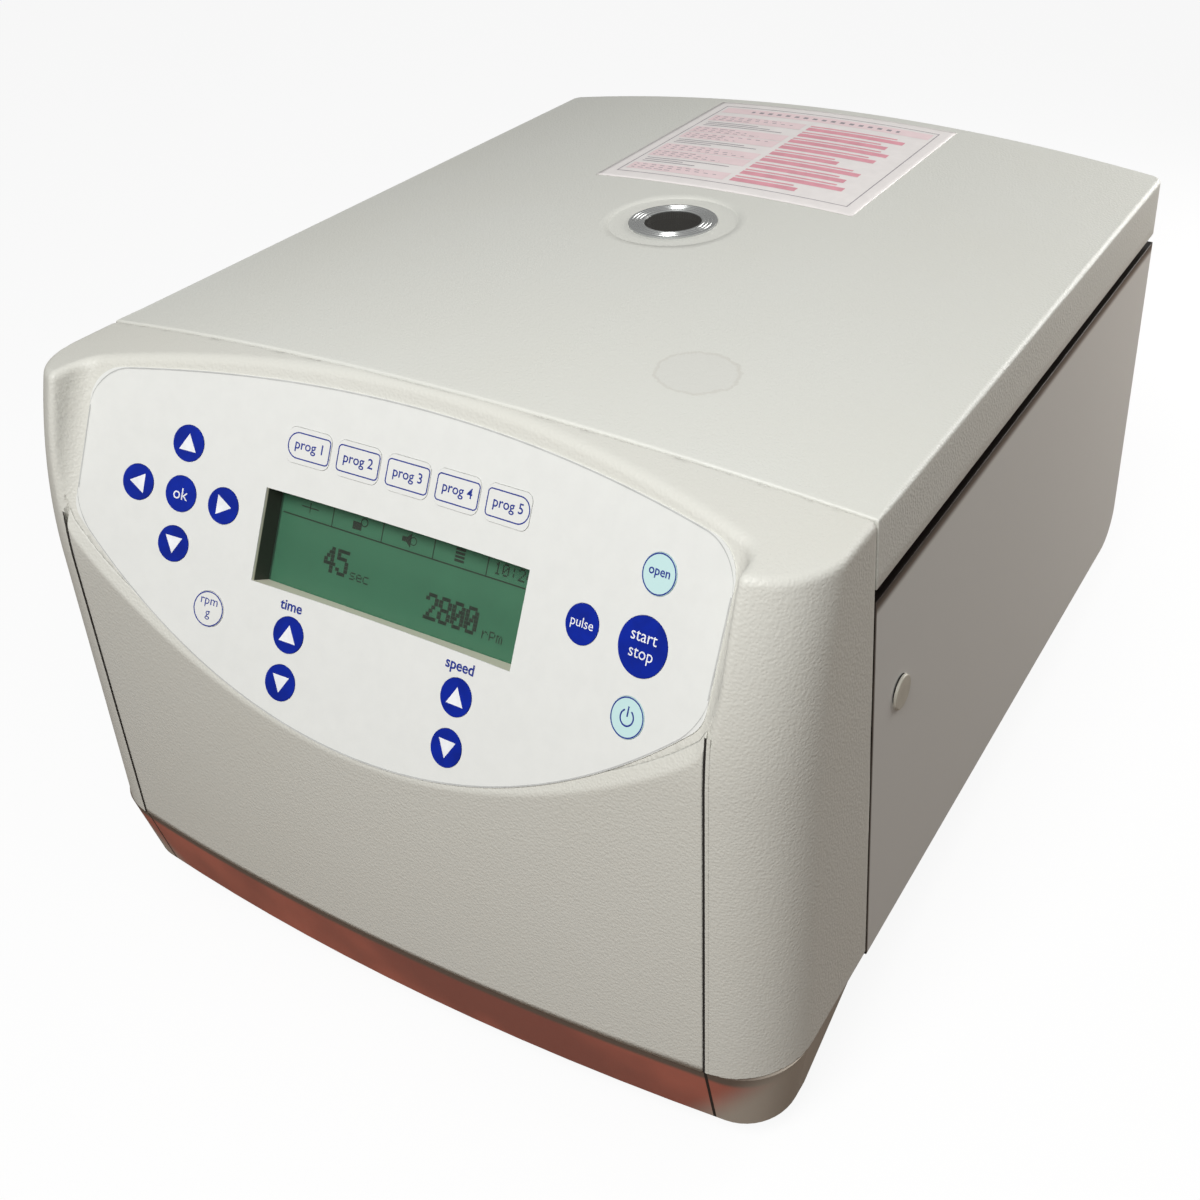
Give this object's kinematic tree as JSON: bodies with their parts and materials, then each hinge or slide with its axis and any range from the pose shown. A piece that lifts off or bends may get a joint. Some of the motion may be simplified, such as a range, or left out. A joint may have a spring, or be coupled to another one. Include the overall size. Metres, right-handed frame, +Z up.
{
  "type": "microplate centrifuge",
  "caption": "Bench centrifuge for microplates: bowed front with sloping keypad and display, hinged lid over a round chamber with a swing-out rotor.",
  "frame": {"origin": "bench surface under the middle of the overall box", "axes": "+Z up, +Y towards the rear, +X to the right seen from the front"},
  "size_m": [0.33, 0.412, 0.25],
  "materials": {
    "light_plastic": "fine textured",
    "front_plastic": "fine textured",
    "base_plastic": "fine textured",
    "feet_rubber": "matte",
    "panel_paint": "satin paint",
    "panel_white": "satin film",
    "frame_cream": "satin",
    "display_clear": "clear",
    "display_green": "satin",
    "board_green": "solder mask",
    "key_blue": "satin",
    "key_white": "satin",
    "key_green": "satin, lit",
    "deck_grey": "satin paint",
    "bowl_steel": "brushed",
    "seal_rubber": "matte",
    "motor_metal": "cast",
    "damper_rubber": "matte",
    "bracket_steel": "zinc plated",
    "latch_plastic": "moulded",
    "socket_black": "moulded",
    "fan_black": "moulded",
    "screw_steel": "plated",
    "liner_white": "moulded",
    "ring_steel": "turned",
    "port_clear": "clear",
    "label_print": "film",
    "rotor_aluminium": "anodised",
    "carrier_steel": "brushed",
    "plug_beige": "moulded"
  },
  "bodies": {
    "housing": {"base_tray": "base_plastic", "rubber_feet": "feet_rubber", "side_panel_left": "panel_paint", "side_panel_right": "panel_paint", "rear_panel": "panel_paint", "front_bezel": "light_plastic", "front_cover": "front_plastic", "keypad_overlay": "panel_white", "display_frame": "frame_cream", "display_glass": "display_clear", "display_module": "display_green", "control_board": "board_green", "top_deck": "deck_grey", "rotor_bowl": "bowl_steel", "bowl_gasket": "seal_rubber", "motor_housing": "motor_metal", "motor_dampers": "damper_rubber", "hinge_brackets": "bracket_steel", "latch_housing": "latch_plastic", "power_board": "board_green", "mains_inlet": "socket_black", "data_port": "socket_black", "fan_frame": "fan_black", "case_screws": "screw_steel"},
    "lid": {"lid_shell": "light_plastic", "lid_liner": "liner_white", "port_ring": "ring_steel", "port_glass": "port_clear", "information_label": "label_print", "lid_strikers": "bracket_steel", "lid_hinge_arms": "bracket_steel", "hinge_pins": "screw_steel"},
    "rotor": {"motor_shaft": "screw_steel", "rotor_yoke": "rotor_aluminium", "rotor_nut": "screw_steel"},
    "carrier_a": {"plate_carrier_a": "carrier_steel"},
    "carrier_b": {"plate_carrier_b": "carrier_steel"},
    "latch": {"latch_bar": "bracket_steel"},
    "rocker": {"mains_rocker": "socket_black"},
    "fan": {"fan_rotor": "fan_black"},
    "plug": {"release_plug": "plug_beige"},
    "key_up": {"key_up": "key_blue"},
    "key_down": {"key_down": "key_blue"},
    "key_left": {"key_left": "key_blue"},
    "key_right": {"key_right": "key_blue"},
    "key_ok": {"key_ok": "key_blue"},
    "key_rpm": {"key_rpm": "key_white"},
    "key_time_up": {"key_time_up": "key_blue"},
    "key_time_down": {"key_time_down": "key_blue"},
    "key_speed_up": {"key_speed_up": "key_blue"},
    "key_speed_down": {"key_speed_down": "key_blue"},
    "key_open": {"key_open": "key_green"},
    "key_short": {"key_short": "key_blue"},
    "key_power": {"key_power": "key_green"},
    "key_start_stop": {"key_start_stop": "key_blue"},
    "key_prog_1": {"key_prog_1": "key_white"},
    "key_prog_2": {"key_prog_2": "key_white"},
    "key_prog_3": {"key_prog_3": "key_white"},
    "key_prog_4": {"key_prog_4": "key_white"},
    "key_prog_5": {"key_prog_5": "key_white"}
  },
  "joints": [
    {"name": "lid_hinge", "type": "hinge", "parent": "housing", "child": "lid", "pos_m": [0, 0.19, 0.222], "axis": [-1, 0, 0], "range_deg": [0, 65]},
    {"name": "rotor_spin", "type": "hinge", "parent": "housing", "child": "rotor", "pos_m": [0, 0.032, 0.1], "axis": [0, 0, 1], "continuous": true},
    {"name": "carrier_a_swing", "type": "hinge", "parent": "rotor", "child": "carrier_a", "pos_m": [0.06, 0.032, 0.148], "axis": [0, 1, 0], "range_deg": [-90, 0]},
    {"name": "carrier_b_swing", "type": "hinge", "parent": "rotor", "child": "carrier_b", "pos_m": [-0.06, 0.032, 0.148], "axis": [0, -1, 0], "range_deg": [-90, 0]},
    {"name": "latch_slide", "type": "slide", "parent": "housing", "child": "latch", "axis": [1, 0, 0], "range_m": [0, 0.012]},
    {"name": "mains_switch", "type": "hinge", "parent": "housing", "child": "rocker", "pos_m": [0.1, 0.1925, 0.122], "axis": [1, 0, 0], "range_deg": [-7, 7]},
    {"name": "fan_spin", "type": "hinge", "parent": "housing", "child": "fan", "pos_m": [-0.088, 0.185, 0.128], "axis": [0, 1, 0], "continuous": true},
    {"name": "plug_pull", "type": "slide", "parent": "housing", "child": "plug", "axis": [0.9999, 0, 0.0147], "range_m": [0, 0.012]},
    {"name": "key_up_press", "type": "slide", "parent": "housing", "child": "key_up", "axis": [-0.1426, 0.8572, -0.4949], "range_m": [0, 0.0004], "stiffness_N_per_m": 1500, "springref_m": -0.0004},
    {"name": "key_down_press", "type": "slide", "parent": "housing", "child": "key_down", "axis": [-0.1426, 0.8572, -0.4949], "range_m": [0, 0.0004], "stiffness_N_per_m": 1500, "springref_m": -0.0004},
    {"name": "key_left_press", "type": "slide", "parent": "housing", "child": "key_left", "axis": [-0.1717, 0.8532, -0.4926], "range_m": [0, 0.0004], "stiffness_N_per_m": 1500, "springref_m": -0.0004},
    {"name": "key_right_press", "type": "slide", "parent": "housing", "child": "key_right", "axis": [-0.1135, 0.8604, -0.4968], "range_m": [0, 0.0004], "stiffness_N_per_m": 1500, "springref_m": -0.0004},
    {"name": "key_ok_press", "type": "slide", "parent": "housing", "child": "key_ok", "axis": [-0.1426, 0.8572, -0.4949], "range_m": [0, 0.0004], "stiffness_N_per_m": 1500, "springref_m": -0.0004},
    {"name": "key_rpm_press", "type": "slide", "parent": "housing", "child": "key_rpm", "axis": [-0.1122, 0.8606, -0.4968], "range_m": [0, 0.0004], "stiffness_N_per_m": 1500, "springref_m": -0.0004},
    {"name": "key_time_up_press", "type": "slide", "parent": "housing", "child": "key_time_up", "axis": [-0.056, 0.8647, -0.4992], "range_m": [0, 0.0004], "stiffness_N_per_m": 1500, "springref_m": -0.0004},
    {"name": "key_time_down_press", "type": "slide", "parent": "housing", "child": "key_time_down", "axis": [-0.056, 0.8647, -0.4992], "range_m": [0, 0.0004], "stiffness_N_per_m": 1500, "springref_m": -0.0004},
    {"name": "key_speed_up_press", "type": "slide", "parent": "housing", "child": "key_speed_up", "axis": [0.061, 0.8644, -0.4991], "range_m": [0, 0.0004], "stiffness_N_per_m": 1500, "springref_m": -0.0004},
    {"name": "key_speed_down_press", "type": "slide", "parent": "housing", "child": "key_speed_down", "axis": [0.061, 0.8644, -0.4991], "range_m": [0, 0.0004], "stiffness_N_per_m": 1500, "springref_m": -0.0004},
    {"name": "key_open_press", "type": "slide", "parent": "housing", "child": "key_open", "axis": [0.1681, 0.8537, -0.4929], "range_m": [0, 0.0004], "stiffness_N_per_m": 1500, "springref_m": -0.0004},
    {"name": "key_short_press", "type": "slide", "parent": "housing", "child": "key_short", "axis": [0.1296, 0.8587, -0.4958], "range_m": [0, 0.0004], "stiffness_N_per_m": 1500, "springref_m": -0.0004},
    {"name": "key_power_press", "type": "slide", "parent": "housing", "child": "key_power", "axis": [0.1673, 0.8538, -0.493], "range_m": [0, 0.0004], "stiffness_N_per_m": 1500, "springref_m": -0.0004},
    {"name": "key_start_stop_press", "type": "slide", "parent": "housing", "child": "key_start_stop", "axis": [0.1674, 0.8538, -0.4929], "range_m": [0, 0.0004], "stiffness_N_per_m": 1500, "springref_m": -0.0004},
    {"name": "key_prog_1_press", "type": "slide", "parent": "housing", "child": "key_prog_1", "axis": [-0.0634, 0.8643, -0.499], "range_m": [0, 0.0004], "stiffness_N_per_m": 1500, "springref_m": -0.0004},
    {"name": "key_prog_2_press", "type": "slide", "parent": "housing", "child": "key_prog_2", "axis": [-0.0299, 0.8656, -0.4998], "range_m": [0, 0.0004], "stiffness_N_per_m": 1500, "springref_m": -0.0004},
    {"name": "key_prog_3_press", "type": "slide", "parent": "housing", "child": "key_prog_3", "axis": [0.0036, 0.866, -0.5], "range_m": [0, 0.0004], "stiffness_N_per_m": 1500, "springref_m": -0.0004},
    {"name": "key_prog_4_press", "type": "slide", "parent": "housing", "child": "key_prog_4", "axis": [0.0371, 0.8654, -0.4997], "range_m": [0, 0.0004], "stiffness_N_per_m": 1500, "springref_m": -0.0004},
    {"name": "key_prog_5_press", "type": "slide", "parent": "housing", "child": "key_prog_5", "axis": [0.0706, 0.8639, -0.4988], "range_m": [0, 0.0004], "stiffness_N_per_m": 1500, "springref_m": -0.0004}
  ]
}
